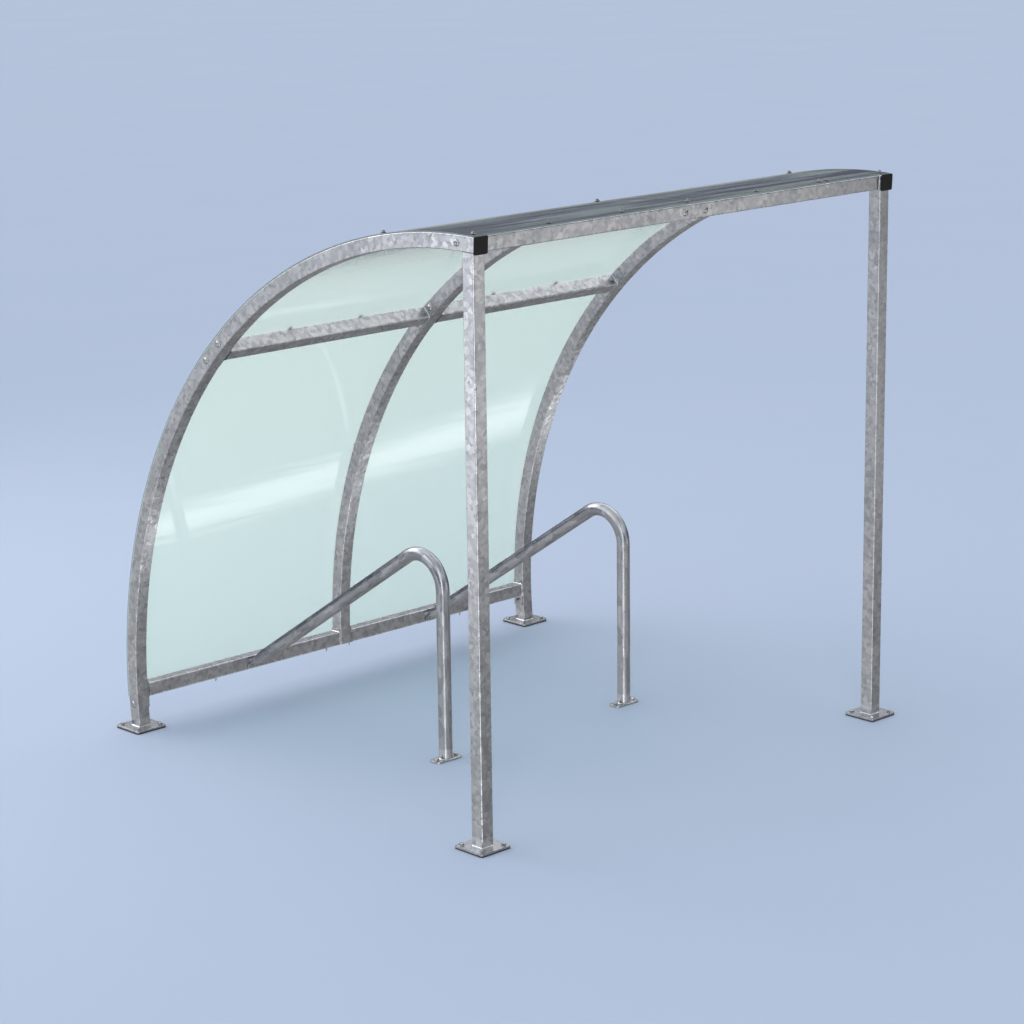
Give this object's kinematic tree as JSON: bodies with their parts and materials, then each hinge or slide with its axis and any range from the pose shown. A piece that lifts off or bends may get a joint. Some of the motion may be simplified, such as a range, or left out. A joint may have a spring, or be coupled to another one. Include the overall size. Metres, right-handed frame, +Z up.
{
  "type": "bike shelter",
  "caption": "Open bike shelter with curved steel tube arches, a front beam on posts, clear curved sheets over the arches and tube hoop stands inside.",
  "frame": {"origin": "on the ground, at the middle of the outline", "axes": "+X along the front beam to the right, +Y from the open front to the back, +Z up"},
  "size_m": [2.08, 1.946, 1.9893],
  "materials": {
    "galvanised_steel": "hot-dip galvanised with visible spangle",
    "cap_plastic": "moulded black plastic",
    "pad_rubber": "black rubber, matt",
    "clear_sheet": "clear extruded sheet with a faint green tint"
  },
  "bodies": {
    "root": {"arch_left": "galvanised_steel", "arch_middle": "galvanised_steel", "arch_right": "galvanised_steel", "post_left": "galvanised_steel", "post_right": "galvanised_steel", "front_beam": "galvanised_steel", "beam_plates": "galvanised_steel", "arch_flange": "galvanised_steel", "purlin_left": "galvanised_steel", "purlin_right": "galvanised_steel", "purlin_plates_left": "galvanised_steel", "purlin_plates_right": "galvanised_steel", "rail_left": "galvanised_steel", "rail_right": "galvanised_steel", "rail_plates_left": "galvanised_steel", "rail_plates_right": "galvanised_steel", "base_plate_post_left": "galvanised_steel", "base_plate_post_right": "galvanised_steel", "base_plate_arch_left": "galvanised_steel", "base_plate_arch_right": "galvanised_steel", "hoop_upright_left": "galvanised_steel", "hoop_upright_right": "galvanised_steel", "hoop_slope_left": "galvanised_steel", "hoop_slope_right": "galvanised_steel", "hoop_end_left": "galvanised_steel", "hoop_end_right": "galvanised_steel", "hoop_foot_left": "galvanised_steel", "hoop_foot_right": "galvanised_steel", "end_cap_left": "cap_plastic", "end_cap_right": "cap_plastic", "base_pad_post_left": "pad_rubber", "base_pad_post_right": "pad_rubber", "base_pad_arch_left": "pad_rubber", "base_pad_arch_right": "pad_rubber", "glazing_left": "clear_sheet", "glazing_right": "clear_sheet"}
  },
  "joints": []
}
